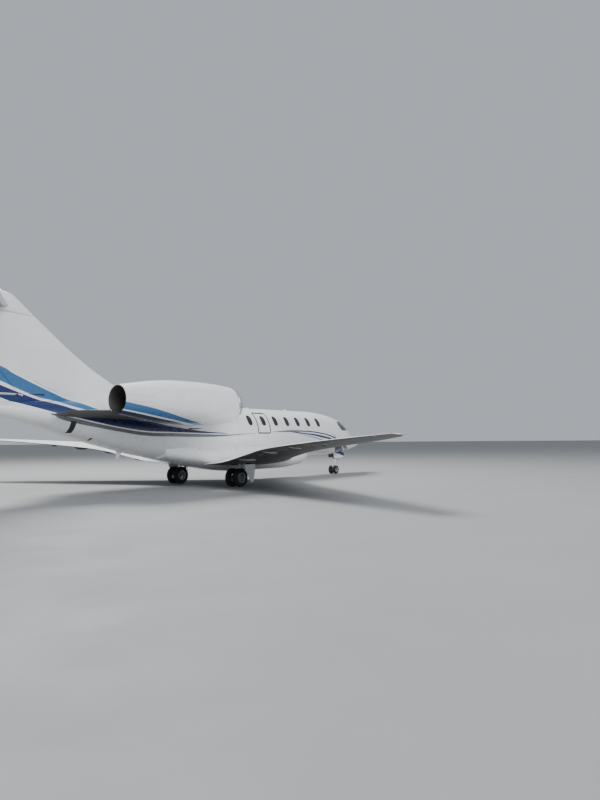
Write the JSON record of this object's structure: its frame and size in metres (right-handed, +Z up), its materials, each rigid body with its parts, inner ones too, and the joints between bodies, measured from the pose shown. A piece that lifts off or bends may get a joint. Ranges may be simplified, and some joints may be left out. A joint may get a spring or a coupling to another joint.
{
  "type": "business jet",
  "caption": "Twin-engined business jet with a T-tail, swept wings, rear fuselage nacelles and a drop-down entry door, standing on tricycle landing gear.",
  "frame": {"origin": "on the ground under the middle of the overall length, on the centreline", "axes": "+X towards the nose, +Y towards the left wing tip, +Z up"},
  "size_m": [22.05, 19.48, 5.86],
  "materials": {
    "nose_paint": "gloss white paint over the nose bay and radome",
    "fuselage_paint": "gloss white paint on aluminium skin",
    "airframe_paint": "gloss white paint with blue stripes",
    "pylon_paint": "dark grey satin paint",
    "core_metal": "dark heat-stained metal",
    "fan_metal": "satin titanium grey",
    "gear_steel": "grey enamel on steel",
    "hub_steel": "silver paint",
    "tyre_rubber": "matt black rubber",
    "cockpit_glass": "clear laminated pane, tinted",
    "cabin_glass": "dark stretched acrylic",
    "seat_leather": "cream leather",
    "well_primer": "pale grey paint",
    "floor_panel": "carpeted floor panels",
    "panel_plastic": "matt black"
  },
  "bodies": {
    "airframe": {"aft_fuselage": "airframe_paint", "belly_antenna": "airframe_paint", "belly_fairing": "airframe_paint", "cabin_floor": "floor_panel", "cabin_fuselage": "fuselage_paint", "cockpit_floor": "floor_panel", "cockpit_seats": "seat_leather", "cockpit_window_left": "cockpit_glass", "cockpit_window_right": "cockpit_glass", "emergency_exit": "fuselage_paint", "engine_left": "core_metal", "engine_right": "core_metal", "fin": "airframe_paint", "fin_cap": "airframe_paint", "flap_left": "airframe_paint", "flap_right": "airframe_paint", "forward_fuselage": "fuselage_paint", "instrument_panel": "panel_plastic", "main_gear_door_left": "airframe_paint", "main_gear_door_right": "airframe_paint", "main_leg_left": "gear_steel", "main_leg_right": "gear_steel", "nacelle_left": "airframe_paint", "nacelle_right": "airframe_paint", "nose_gear_door_left": "airframe_paint", "nose_gear_door_right": "airframe_paint", "nose_leg": "gear_steel", "nose_section": "nose_paint", "nose_wheel_well": "well_primer", "pylon_left": "pylon_paint", "pylon_right": "pylon_paint", "seats_left": "seat_leather", "seats_right": "seat_leather", "tail_cone": "airframe_paint", "tailplane_left": "airframe_paint", "tailplane_right": "airframe_paint", "window_band_left": "cabin_glass", "window_band_right": "cabin_glass", "windshield_left": "cockpit_glass", "windshield_right": "cockpit_glass", "wing_left": "airframe_paint", "wing_right": "airframe_paint"},
    "main_wheels_right": {"main_hubs_right": "hub_steel", "main_tyre_outer_right": "tyre_rubber", "main_tyre_inner_right": "tyre_rubber"},
    "main_wheels_left": {"main_hubs_left": "hub_steel", "main_tyre_outer_left": "tyre_rubber", "main_tyre_inner_left": "tyre_rubber"},
    "nose_steering": {"nose_fork": "gear_steel"},
    "nose_wheels": {"nose_hubs": "hub_steel", "nose_tyre_right": "tyre_rubber", "nose_tyre_left": "tyre_rubber"},
    "fan_rotor_right": {"fan_right": "fan_metal"},
    "fan_rotor_left": {"fan_left": "fan_metal"},
    "entry_door": {"cabin_door": "fuselage_paint"},
    "rudder": {"rudder": "airframe_paint"},
    "aileron_right": {"aileron_right": "airframe_paint"},
    "aileron_left": {"aileron_left": "airframe_paint"},
    "elevator_right": {"elevator_right": "airframe_paint"},
    "elevator_left": {"elevator_left": "airframe_paint"}
  },
  "joints": [
    {"name": "main_roll_right", "type": "hinge", "parent": "airframe", "child": "main_wheels_right", "pos_m": [0.245, -1.55, 0.33], "axis": [0, 1, 0], "continuous": true},
    {"name": "main_roll_left", "type": "hinge", "parent": "airframe", "child": "main_wheels_left", "pos_m": [0.245, 1.55, 0.33], "axis": [0, 1, 0], "continuous": true},
    {"name": "nose_steer", "type": "hinge", "parent": "airframe", "child": "nose_steering", "pos_m": [8.925, 0, 0.4], "axis": [0, 0, 1], "range_deg": [-80, 80]},
    {"name": "nose_roll", "type": "hinge", "parent": "nose_steering", "child": "nose_wheels", "pos_m": [8.855, 0, 0.203], "axis": [0, 1, 0], "continuous": true},
    {"name": "fan_spin_right", "type": "hinge", "parent": "airframe", "child": "fan_rotor_right", "pos_m": [-1.16, -1.9, 2.86], "axis": [1, 0, 0], "continuous": true},
    {"name": "fan_spin_left", "type": "hinge", "parent": "airframe", "child": "fan_rotor_left", "pos_m": [-1.16, 1.9, 2.86], "axis": [1, 0, 0], "continuous": true},
    {"name": "door_swing", "type": "hinge", "parent": "airframe", "child": "entry_door", "pos_m": [7.285, 0.594, 1.128], "axis": [-1, 0, 0], "range_deg": [0, 125]},
    {"name": "rudder_swing", "type": "hinge", "parent": "airframe", "child": "rudder", "pos_m": [-7.085, 0, 2.99], "axis": [-0.6385, 0, 0.7697], "range_deg": [-25, 25]},
    {"name": "aileron_swing_right", "type": "hinge", "parent": "airframe", "child": "aileron_right", "pos_m": [-1.765, -6.35, 1.545], "axis": [-0.3906, -0.9182, 0.0658], "range_deg": [-20, 20]},
    {"name": "aileron_swing_left", "type": "hinge", "parent": "airframe", "child": "aileron_left", "pos_m": [-1.765, 6.35, 1.545], "axis": [-0.3906, 0.9182, 0.0658], "range_deg": [-20, 20]},
    {"name": "elevator_swing_right", "type": "hinge", "parent": "airframe", "child": "elevator_right", "pos_m": [-9.065, -0.38, 5.431], "axis": [-0.4415, -0.8964, 0.0384], "range_deg": [-20, 15]},
    {"name": "elevator_swing_left", "type": "hinge", "parent": "airframe", "child": "elevator_left", "pos_m": [-9.065, 0.38, 5.431], "axis": [0.4415, -0.8964, -0.0384], "range_deg": [-20, 15]}
  ],
  "couplings": [
    {"joint": "aileron_swing_left", "follows": "aileron_swing_right", "ratio": 1},
    {"joint": "elevator_swing_left", "follows": "elevator_swing_right", "ratio": 1}
  ]
}
